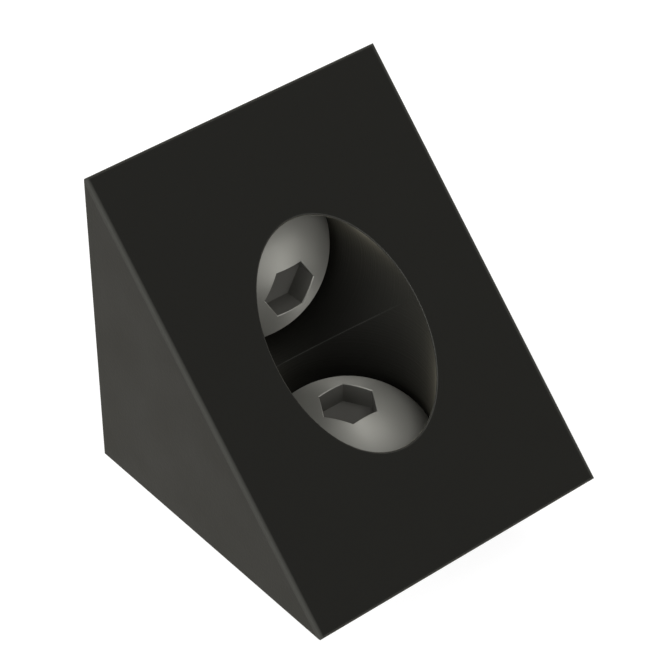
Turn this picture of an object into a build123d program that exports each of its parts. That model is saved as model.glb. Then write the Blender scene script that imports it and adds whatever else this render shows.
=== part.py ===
"""Corner bracket for 20 mm T-slot framing, with its two button-head screws.

The bracket is a solid wedge machined from aluminium. Its two legs meet at a square
heel and lie on two rails of a frame. A screw goes down through each leg, from a
counterbore that opens in the sloped face. The counterbores cross, so the sloped
face shows them as one oval window, with a ridge between them in the mitre plane.

Frame: the origin is the middle of the heel edge, where the two rails' faces meet.
+X runs along the base leg, +Z up the wall leg and Y across the bracket.
"""

import os

from build123d import *

# Bracket body
leg_length = 19.45  # heel edge to the tip of either leg
bracket_width = 20.0  # across both legs, the same as the rail
tip_land = 0.15  # flat left at each tip, so that it has no feather edge
slope_round = 0.2  # round along the two sides of the sloped face
seat_thickness = 2.2  # metal between a leg's outer face and its screw's head
screw_offset = 9.75  # heel edge to a screw's axis, along either leg

# Button-head screws, M5 x 8
thread_diameter = 5.0
screw_length = 8.0  # underside of the head to the end of the thread
neck_length = 2.2  # plain shank left under the head where the thread runs out
thread_rise = 0.25  # from the plain neck out to the thread's crests
under_head_round = 0.2
end_chamfer = 0.5
head_diameter = 9.5
head_height = 2.75
head_rim = 0.15  # short straight edge under the dome
socket_across_flats = 3.0
socket_depth = 1.56  # top of the dome to the corners of the socket's floor
socket_point = 0.05  # further down to the middle of the faceted floor

# Clearances all round a screw in its hole
head_clearance = 0.15
thread_clearance = 0.25

# Each screw's seat: its origin is on the screw's axis at the underside of the head,
# its z axis points out of the counterbore and its x axis points away from the heel.
base_seat = Plane(
    origin=(screw_offset, 0, seat_thickness), x_dir=(1, 0, 0), z_dir=(0, 0, 1)
)
wall_seat = Plane(
    origin=(seat_thickness, 0, screw_offset), x_dir=(0, 0, 1), z_dir=(1, 0, 0)
)


# Bracket: a triangular bar, its sloped edges rounded, its tips trimmed, then drilled
with BuildPart() as bracket:
    with BuildSketch(Plane.XZ):
        with BuildLine():
            Polyline(
                (0, 0),
                (leg_length + tip_land, 0),
                (0, leg_length + tip_land),
                close=True,
            )
        make_face()
    extrude(amount=bracket_width / 2, both=True)

    out_of_slope = Axis(origin=(0, 0, 0), direction=(1, 0, 1))
    sloped_face = bracket.faces().sort_by(out_of_slope)[-1]
    fillet(sloped_face.edges().filter_by(Axis.Y, reverse=True), radius=slope_round)

    split(bisect_by=Plane.YZ.offset(leg_length), keep=Keep.BOTTOM)
    split(bisect_by=Plane.XY.offset(leg_length), keep=Keep.BOTTOM)

    # From its seat, each counterbore runs out through the sloped face
    with Locations(base_seat, wall_seat):
        CounterBoreHole(
            radius=thread_diameter / 2 + thread_clearance,
            counter_bore_radius=head_diameter / 2 + head_clearance,
            counter_bore_depth=0,
            depth=leg_length,
        )

bracket.part.label = "bracket"


def button_head_screw(seat):
    """A domed screw with a hexagon socket, its head's underside on the seat plane."""
    head_radius = head_diameter / 2
    crest_radius = thread_diameter / 2
    neck_radius = crest_radius - thread_rise
    lengthwise = Plane(origin=seat.origin, x_dir=seat.x_dir, z_dir=-seat.y_dir)

    with BuildPart() as screw:
        with BuildSketch(lengthwise):
            with BuildLine():
                dome = TangentArc(
                    (0, head_height), (head_radius, head_rim), tangent=(1, 0)
                )
                underside = Polyline(
                    dome @ 1, (head_radius, 0), (neck_radius + under_head_round, 0)
                )
                under_head = TangentArc(
                    underside @ 1, (neck_radius, -under_head_round), tangent=(-1, 0)
                )
                Polyline(
                    under_head @ 1,
                    (neck_radius, thread_rise - neck_length),
                    (crest_radius, -neck_length),
                    (crest_radius, end_chamfer - screw_length),
                    (crest_radius - end_chamfer, -screw_length),
                    (0, -screw_length),
                    (0, head_height),
                )
            make_face()
        revolve(axis=Axis(seat.origin, seat.z_dir))

        # Hexagon socket: straight flats down to the floor, then six facets to a point
        floor_height = head_height - socket_depth
        with BuildSketch(seat.offset(floor_height)) as socket:
            RegularPolygon(
                radius=socket_across_flats / 2,
                side_count=6,
                major_radius=False,
                rotation=30,
            )
        extrude(amount=socket_depth, mode=Mode.SUBTRACT)
        floor_point = seat.from_local_coords((0, 0, floor_height - socket_point))
        loft([socket.sketch.face(), Vertex(floor_point)], mode=Mode.SUBTRACT)
    return screw


# Base screw: down through the base leg, its thread standing out below
base_screw = button_head_screw(base_seat)
base_screw.part.label = "base_screw"

# Wall screw: the same screw through the wall leg, its thread standing out behind
wall_screw = button_head_screw(wall_seat)
wall_screw.part.label = "wall_screw"

os.makedirs("parts", exist_ok=True)
export_step(bracket.part, "parts/bracket.step")
export_step(base_screw.part, "parts/base_screw.step")
export_step(wall_screw.part, "parts/wall_screw.step")
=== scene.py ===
"""Looks of a corner bracket for 20 mm T-slot framing, with its two button-head screws.

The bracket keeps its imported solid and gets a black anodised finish. The two screws are
modelled here, with their domes, sockets and threads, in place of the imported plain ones.
"""

import math

import bmesh
import bpy
from mathutils import Euler, Matrix, Vector


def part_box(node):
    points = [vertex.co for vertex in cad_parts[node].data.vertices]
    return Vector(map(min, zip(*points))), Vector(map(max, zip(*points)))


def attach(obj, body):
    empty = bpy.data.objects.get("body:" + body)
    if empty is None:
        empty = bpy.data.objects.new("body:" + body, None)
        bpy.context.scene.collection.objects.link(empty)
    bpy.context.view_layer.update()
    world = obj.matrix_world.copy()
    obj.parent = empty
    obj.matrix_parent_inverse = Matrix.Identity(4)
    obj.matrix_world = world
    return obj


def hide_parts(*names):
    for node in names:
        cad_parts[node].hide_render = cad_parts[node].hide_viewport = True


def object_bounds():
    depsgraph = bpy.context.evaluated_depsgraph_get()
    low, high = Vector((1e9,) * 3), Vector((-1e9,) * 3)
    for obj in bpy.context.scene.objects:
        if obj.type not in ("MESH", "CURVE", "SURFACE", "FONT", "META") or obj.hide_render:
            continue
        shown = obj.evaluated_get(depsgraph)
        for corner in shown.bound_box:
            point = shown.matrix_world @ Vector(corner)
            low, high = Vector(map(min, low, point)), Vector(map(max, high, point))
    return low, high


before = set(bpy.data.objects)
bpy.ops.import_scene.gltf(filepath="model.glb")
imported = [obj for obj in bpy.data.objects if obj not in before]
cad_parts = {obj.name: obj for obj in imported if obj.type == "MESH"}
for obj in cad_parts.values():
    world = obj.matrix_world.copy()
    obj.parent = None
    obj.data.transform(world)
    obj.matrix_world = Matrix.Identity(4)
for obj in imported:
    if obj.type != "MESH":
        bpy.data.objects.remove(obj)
cad_low, cad_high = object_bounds()


# Camera. A long lens above the base leg's left looks down into the oval window in the
# sloped face, with the bracket filling the frame.
MM = 0.001
view_azimuth = math.radians(51.03)
view_elevation = math.radians(39.50)
view_roll = math.radians(-0.62)
view_distance = 161.4 * MM
aim_left = 0.92 * MM
aim_down = 0.09 * MM

bracket_low, bracket_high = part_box("bracket")
turn = Euler((math.pi / 2 - view_elevation, 0, view_azimuth)).to_matrix()
turn = turn @ Matrix.Rotation(view_roll, 3, "Z")
aim = (bracket_low + bracket_high) / 2 - turn @ Vector((aim_left, aim_down, 0))
camera = bpy.data.objects.new("camera", bpy.data.cameras.new("camera"))
camera.data.lens = 158.6
camera.data.sensor_width = 36
camera.data.clip_start = 10 * MM
camera.data.clip_end = 10
camera.location = aim + turn @ Vector((0, 0, view_distance))
camera.rotation_euler = turn.to_euler()
bpy.context.scene.collection.objects.link(camera)
bpy.context.scene.camera = camera


# Bracket. A solid wedge of aluminium, drilled and counterbored from its sloped face, then
# blasted and anodised black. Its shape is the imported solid's, and the finish is made here.
def linear(colour):
    """The linear values of a colour written as sRGB hex."""
    shares = [int(colour[i : i + 2], 16) / 255 for i in (1, 3, 5)]
    return [*(s / 12.92 if s <= 0.04045 else ((s + 0.055) / 1.055) ** 2.4 for s in shares), 1]


def add(tree, kind, inputs=None, **settings):
    """Adds a node. An input is a value for that socket or another node's output."""
    node = tree.nodes.new(kind)
    for name, value in settings.items():
        setattr(node, name, value)
    for socket, value in (inputs or {}).items():
        if isinstance(value, bpy.types.NodeSocket):
            tree.links.new(value, node.inputs[socket])
        else:
            node.inputs[socket].default_value = value
    return node


def new_material(name):
    """An empty material and its node tree."""
    material = bpy.data.materials.new(name)
    material.use_nodes = True
    material.node_tree.nodes.clear()
    return material, material.node_tree


tip_land = 0.15 * MM
slope_round = 0.2 * MM
seat_thickness = 2.2 * MM
counterbore_radius = 4.9 * MM
head_radius = 4.75 * MM
screw_low, screw_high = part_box("base_screw")
axis_distance = screw_high.x - head_radius
edge_break = 0.1 * MM
grain_size = 0.14 * MM
patch_size = 3 * MM
ring_spacing = 0.15 * MM
wall_tolerance = 0.03 * MM

# Anodised black after blasting: matt and very dark face on, and paler at a shallow angle,
# where the fine blasted texture scatters the light.
black_anodised_aluminium, tree = new_material("black_anodised_aluminium")
place = add(tree, "ShaderNodeTexCoord").outputs["Object"]

# The black wears a little paler along the broken edges, and there the paler colour is also a
# painted highlight, as if the edges caught the light. Over the rounds along both sides of the
# slope, which lie furthest out from the heel and the middle, the paler colour is a painted
# highlight that keeps them lighter than the faces either side.
broken_edge = add(tree, "ShaderNodeBevel", {"Radius": edge_break}, samples=6).outputs["Normal"]
face = add(tree, "ShaderNodeNewGeometry").outputs["Normal"]
agreement = add(tree, "ShaderNodeVectorMath", {0: broken_edge, 1: face}, operation="DOT_PRODUCT")
edge = add(
    tree,
    "ShaderNodeMapRange",
    {"Value": agreement.outputs["Value"], "From Min": 0.995, "From Max": 0.85},
)
diagonal = math.sqrt(0.5)
one_side = add(tree, "ShaderNodeVectorMath", {0: place}, operation="ABSOLUTE").outputs["Vector"]
outward = add(
    tree,
    "ShaderNodeVectorMath",
    {0: one_side, 1: (diagonal, 1, diagonal)},
    operation="DOT_PRODUCT",
)
corner = (bracket_high.x + tip_land) * diagonal + bracket_high.y
# Mask for the painted highlight on the rounds either side of the slope.
rounded = add(
    tree,
    "ShaderNodeMapRange",
    {
        "Value": outward.outputs["Value"],
        "From Min": corner - 1.4 * slope_round,
        "From Max": corner - 0.9 * slope_round,
        "To Max": 0.45,
    },
)
worn = add(
    tree,
    "ShaderNodeMath",
    {0: edge.outputs["Result"], 1: rounded.outputs["Result"]},
    operation="MAXIMUM",
)

# The blast leaves a fine grain, and cloudy patches of gloss some millimetres across.
grain = add(tree, "ShaderNodeTexNoise", {"Vector": place, "Scale": 1 / grain_size, "Detail": 2})
bump = add(
    tree,
    "ShaderNodeBump",
    {"Height": grain.outputs["Fac"], "Distance": 0.005 * MM, "Normal": broken_edge},
)
clouds = add(tree, "ShaderNodeTexNoise", {"Vector": place, "Scale": 1 / patch_size, "Detail": 3})
roughness = add(
    tree,
    "ShaderNodeMapRange",
    {
        "Value": clouds.outputs["Fac"],
        "From Min": 0.3,
        "From Max": 0.7,
        "To Min": 0.42,
        "To Max": 0.5,
    },
)

# The cutter left fine rings in the counterbores, square to each axis, as a fine bump. Their
# walls also take a paler colour, which is painted light that lifts the shade inside the
# counterbores. Both begin at each seat, clear of the legs' outer faces.
in_counterbore = 0
axes = add(tree, "ShaderNodeSeparateXYZ", {"Vector": place}).outputs
for along, across in (("Z", "X"), ("X", "Z")):
    rings = add(
        tree,
        "ShaderNodeTexNoise",
        {"W": axes[along], "Scale": 1 / ring_spacing},
        noise_dimensions="1D",
    )
    offset = add(tree, "ShaderNodeMath", {0: axes[across], 1: axis_distance}, operation="SUBTRACT")
    arm = add(tree, "ShaderNodeCombineXYZ", {"X": offset.outputs["Value"], "Y": axes["Y"]})
    radius = add(tree, "ShaderNodeVectorMath", {0: arm.outputs["Vector"]}, operation="LENGTH")
    at_wall = add(
        tree,
        "ShaderNodeMath",
        {0: radius.outputs["Value"], 1: counterbore_radius, 2: wall_tolerance},
        operation="COMPARE",
    )
    inside = add(
        tree, "ShaderNodeMath", {0: axes[along], 1: seat_thickness / 2}, operation="GREATER_THAN"
    )
    on_wall = add(
        tree,
        "ShaderNodeMath",
        {0: at_wall.outputs["Value"], 1: inside.outputs["Value"]},
        operation="MULTIPLY",
    ).outputs["Value"]
    bump = add(
        tree,
        "ShaderNodeBump",
        {
            "Height": rings.outputs["Fac"],
            "Strength": on_wall,
            "Distance": 0.01 * MM,
            "Normal": bump.outputs["Normal"],
        },
    )
    either = add(tree, "ShaderNodeMath", {0: in_counterbore, 1: on_wall}, operation="MAXIMUM")
    in_counterbore = either.outputs["Value"]

# Painted light: the counterbore walls take the paler #1F1F1D, lifting the shade in the hollows.
whole_dye = add(
    tree,
    "ShaderNodeMix",
    {"Factor": in_counterbore, "A": linear("#161614"), "B": linear("#1F1F1D")},
    data_type="RGBA",
)
# The paler #4A4A46 is wear plus a painted highlight on the broken edges, and a painted highlight on
# the slope's rounds.
dye = add(
    tree,
    "ShaderNodeMix",
    {"Factor": worn.outputs["Value"], "A": whole_dye.outputs["Result"], "B": linear("#4A4A46")},
    data_type="RGBA",
)
shader = add(
    tree,
    "ShaderNodeBsdfPrincipled",
    {
        "Base Color": dye.outputs["Result"],
        "Roughness": roughness.outputs["Result"],
        "Specular IOR Level": 0.06,
        "Sheen Weight": 0.22,
        "Sheen Roughness": 0.4,
        "Sheen Tint": linear("#FFF7DC"),
        "Normal": bump.outputs["Normal"],
    },
)
add(tree, "ShaderNodeOutputMaterial", {"Surface": shader.outputs["BSDF"]})
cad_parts["bracket"].material_slots[0].material = black_anodised_aluminium


# Screws. Two M5 button heads of stainless steel, cold headed with a hexagon socket and
# rolled threads. One goes down through each leg and seats in its counterbore.
head_height = 2.75 * MM
head_rim = 0.15 * MM
rim_round = 0.06 * MM
under_head_round = 0.2 * MM
screw_length = 8 * MM
socket_across_flats = 3 * MM
socket_depth = 1.56 * MM
socket_point = 0.05 * MM
mouth_chamfer = 0.05 * MM
neck_radius = 2.25 * MM
neck_length = 0.6 * MM
crest_radius = 2.5 * MM
thread_pitch = 0.8 * MM
thread_depth = 0.6134 * thread_pitch
crest_share = 1 / 8  # of a pitch, the flat on top
flank_share = 0.354  # of a pitch, either side of it
end_chamfer = 0.5 * MM
skin_grain = 0.1 * MM
columns = 96
angles = [2 * math.pi * i / columns for i in range(columns)]


def hexagon(angle):
    """Distance from the axis to the socket's wall, whose corners lie on the y axis."""
    from_flat = (angle + math.pi / 6) % (math.pi / 3) - math.pi / 6
    return socket_across_flats / 2 / math.cos(from_flat)


def dome(radius):
    """Height of the domed head above its underside."""
    rise = head_height - head_rim
    sphere = (head_radius**2 + rise**2) / (2 * rise)
    return head_height - sphere + math.sqrt(sphere**2 - radius**2)


def thread(angle, height):
    """Radius of the thread, which fades out into the neck and is chamfered at its end."""
    share = ((-neck_length - height) / thread_pitch + angle / (2 * math.pi)) % 1
    from_crest = abs((share + 0.5) % 1 - 0.5)
    down_flank = min(max((from_crest - crest_share / 2) / flank_share, 0), 1)
    full = crest_radius - thread_depth * down_flank
    run_out = min((-neck_length - height) / (2 * thread_pitch), 1)
    radius = neck_radius + run_out * (full - neck_radius)
    return min(radius, crest_radius - end_chamfer + screw_length + height)


def button_head_screw(name, seat):
    """A screw whose own z axis points out of its head, from the head's underside."""
    mesh = bmesh.new()

    def ring(points):
        """One vertex for each column, at the radius and height given for it."""
        return [
            mesh.verts.new((r * math.cos(a), r * math.sin(a), z))
            for a, (r, z) in zip(angles, points)
        ]

    # Rings from the socket's floor up its walls, out over the dome and round to the neck
    floor = head_height - socket_depth
    walls = [hexagon(a) for a in angles]
    rings = [ring([(w, floor) for w in walls])]
    rings.append(ring([(w, dome(w) - mouth_chamfer) for w in walls]))
    dome_steps = 20
    for step in range(dome_steps + 1):
        share = step / dome_steps
        reach = [(w + mouth_chamfer) * (1 - share) + head_radius * share for w in walls]
        rings.append(ring([(r, dome(r)) for r in reach]))
    for radius, height in (
        (head_radius, rim_round),
        (head_radius - rim_round / 3, rim_round / 3),
        (head_radius - rim_round, 0),
        (neck_radius + under_head_round, 0),
        (neck_radius + 0.3 * under_head_round, -0.3 * under_head_round),
        (neck_radius, -under_head_round),
        (neck_radius, -neck_length),
    ):
        rings.append(ring([(radius, height)] * columns))
    for inner, outer in zip(rings, rings[1:]):
        for i in range(columns):
            mesh.faces.new((inner[i - 1], outer[i - 1], outer[i], inner[i]))
    mesh.faces.ensure_lookup_table()
    socket_walls = mesh.faces[:columns]  # the first faces made

    # The socket's floor of six facets, and the flat end of the thread
    floor_facets = []
    floor_point = mesh.verts.new((0, 0, floor - socket_point))
    end_centre = mesh.verts.new((0, 0, -screw_length))
    end = ring([(crest_radius - end_chamfer, -screw_length)] * columns)
    for i in range(columns):
        floor_facets.append(mesh.faces.new((floor_point, rings[0][i - 1], rings[0][i])))
        mesh.faces.new((end_centre, end[i], end[i - 1]))

    # The thread's rows follow its helix, so that after a full turn each row meets the one
    # a pitch above it. Rows past either end are flattened onto it and merge there.
    pitch_rows = 16
    spare_rows = 3
    pitches = (screw_length - neck_length) / thread_pitch
    rows = round(pitch_rows * (pitches + 1)) + spare_rows
    grid = []
    for row in range(rows):
        line = []
        for a in angles:
            climb = (a / (2 * math.pi) + (1 - row) / pitch_rows) * thread_pitch
            height = max(min(climb, 0) - neck_length, -screw_length)
            radius = thread(a, height)
            line.append(mesh.verts.new((radius * math.cos(a), radius * math.sin(a), height)))
        grid.append(line)
    for row in range(rows - 1):
        upper, lower = grid[row], grid[row + 1]
        for i in range(1, columns):
            mesh.faces.new((upper[i - 1], lower[i - 1], lower[i], upper[i]))
        if row >= pitch_rows:
            start = grid[row - pitch_rows][0], grid[row - pitch_rows + 1][0]
            mesh.faces.new((upper[-1], lower[-1], start[1], start[0]))
    for face in mesh.faces:
        face.smooth = True
    for face in floor_facets:
        face.smooth = False
    for face in socket_walls + floor_facets:
        face.material_index = 1
    bmesh.ops.remove_doubles(mesh, verts=mesh.verts, dist=1e-8)

    data = bpy.data.meshes.new(name)
    mesh.to_mesh(data)
    mesh.free()
    data.set_sharp_from_angle(angle=math.radians(25))
    screw = bpy.data.objects.new(name, data)
    screw.matrix_world = seat
    bpy.context.scene.collection.objects.link(screw)
    return screw


# Stainless steel, its dome turned after heading, then pickled: a satin grey whose etched
# skin scatters more light than bare metal does. The turning draws each highlight out across
# the dome. The punched socket is even and takes a darker grey, which is painted shade in it.
def stainless_steel(name, colour, turning):
    """A satin steel, turned about the screw's axis where turning is above 0."""
    material, tree = new_material(name)
    place = add(tree, "ShaderNodeTexCoord").outputs["Object"]
    around = add(tree, "ShaderNodeTangent", direction_type="RADIAL", axis="Z")
    grain = add(tree, "ShaderNodeTexNoise", {"Vector": place, "Scale": 1 / skin_grain, "Detail": 2})
    bump = add(tree, "ShaderNodeBump", {"Height": grain.outputs["Fac"], "Distance": 0.001 * MM})
    shader = add(
        tree,
        "ShaderNodeBsdfPrincipled",
        {
            "Base Color": linear(colour),
            "Metallic": 0.36,
            "Roughness": 0.6,
            "Anisotropic": turning,
            "Anisotropic Rotation": 0.25,
            "Tangent": around.outputs["Tangent"],
            "Normal": bump.outputs["Normal"],
        },
    )
    add(tree, "ShaderNodeOutputMaterial", {"Surface": shader.outputs["BSDF"]})
    return material


turned_steel = stainless_steel("turned_stainless_steel", "#A6A59E", 0.85)
# Painted shade: the socket's walls and floor take a darker grey than the dome.
punched_steel = stainless_steel("socket_stainless_steel_painted_shade", "#65645F", 0)

seat_height = screw_low.z + screw_length
base_seat = Matrix.Translation((axis_distance, 0, seat_height))
wall_seat = Matrix(
    ((0, 0, 1, seat_height), (0, -1, 0, 0), (1, 0, 0, axis_distance), (0, 0, 0, 1))
)
for node, seat in (("base_screw", base_seat), ("wall_screw", wall_seat)):
    screw = button_head_screw("button_head_" + node, seat)
    screw.data.materials.append(turned_steel)
    screw.data.materials.append(punched_steel)
    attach(screw, "root")
    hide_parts(node)


# Studio. A wide white floor under the bracket, white surroundings and four soft lamps: the
# key from the left, which also reaches into the counterbores, weak ones low at the front
# and high on the right, and one behind that parts the two back faces.
floor_mesh = bmesh.new()
bmesh.ops.create_circle(floor_mesh, cap_ends=True, segments=64, radius=3)
data = bpy.data.meshes.new("studio_floor")
floor_mesh.to_mesh(data)
floor_mesh.free()
studio_floor = bpy.data.objects.new("studio_floor", data)
studio_floor.location.z = cad_low.z
bpy.context.scene.collection.objects.link(studio_floor)


def seen_as_white(tree):
    """One for the rays that show the surroundings to the camera, in metal or through glass."""
    path = add(tree, "ShaderNodeLightPath")
    shown = path.outputs["Is Camera Ray"]
    for kind in ("Is Glossy Ray", "Is Transmission Ray"):
        node = add(tree, "ShaderNodeMath", {0: shown, 1: path.outputs[kind]}, operation="MAXIMUM")
        shown = node.outputs["Value"]
    return shown


# The floor glows enough to look white beyond the shadow, more so where the lamps fall off,
# and is clear from below.
white_floor, tree = new_material("white_floor")
place = add(tree, "ShaderNodeTexCoord").outputs["Object"]
reach = add(tree, "ShaderNodeVectorMath", {0: place}, operation="LENGTH")
level = add(
    tree,
    "ShaderNodeMapRange",
    {
        "Value": reach.outputs["Value"],
        "From Min": 0.1,
        "From Max": 0.5,
        "To Min": 0.8,
        "To Max": 0.93,
    },
)
glow = add(
    tree,
    "ShaderNodeMath",
    {0: seen_as_white(tree), 1: level.outputs["Result"]},
    operation="MULTIPLY",
)
paint = add(tree, "ShaderNodeBsdfDiffuse", {"Color": linear("#A9A9A9")})
light = add(tree, "ShaderNodeEmission", {"Strength": glow.outputs["Value"]})
both = add(tree, "ShaderNodeAddShader", {0: paint.outputs["BSDF"], 1: light.outputs["Emission"]})
below = add(tree, "ShaderNodeNewGeometry").outputs["Backfacing"]
clear = add(tree, "ShaderNodeBsdfTransparent").outputs["BSDF"]
surface = add(tree, "ShaderNodeMixShader", {0: below, 1: both.outputs["Shader"], 2: clear})
add(tree, "ShaderNodeOutputMaterial", {"Surface": surface.outputs["Shader"]})
studio_floor.data.materials.append(white_floor)

world = bpy.data.worlds.new("white_surroundings")
world.use_nodes = True
tree = world.node_tree
tree.nodes.clear()
strength = add(
    tree, "ShaderNodeMapRange", {"Value": seen_as_white(tree), "To Min": 0.25, "To Max": 1}
)
sky = add(tree, "ShaderNodeBackground", {"Strength": strength.outputs["Result"]})
sky.inputs["Color"].default_value = (1, 1, 1, 1)
add(tree, "ShaderNodeOutputWorld", {"Surface": sky.outputs["Background"]})
bpy.context.scene.world = world

middle = (bracket_low + bracket_high) / 2
lamp_distance = 0.35
for name, azimuth, elevation, level, size in (
    ("key_lamp", 15, 20, 1.22, 0.28),
    ("front_lamp", 90, 8, 0.24, 0.2),
    ("top_lamp", 120, 70, 0.22, 0.2),
    ("back_lamp", 205, 12, 0.5, 0.2),
):
    away = Vector((0, -1, 0))
    away.rotate(Euler((-math.radians(elevation), 0, 0)))
    away.rotate(Euler((0, 0, math.radians(azimuth))))
    lamp = bpy.data.objects.new(name, bpy.data.lights.new(name, "AREA"))
    lamp.data.shape = "DISK"
    lamp.data.size = size
    lamp.data.energy = level * (math.pi * lamp_distance) ** 2
    lamp.location = middle + away * lamp_distance
    lamp.rotation_euler = away.to_track_quat("Z", "Y").to_euler()
    bpy.context.scene.collection.objects.link(lamp)
bpy.context.scene.view_settings.view_transform = "Standard"
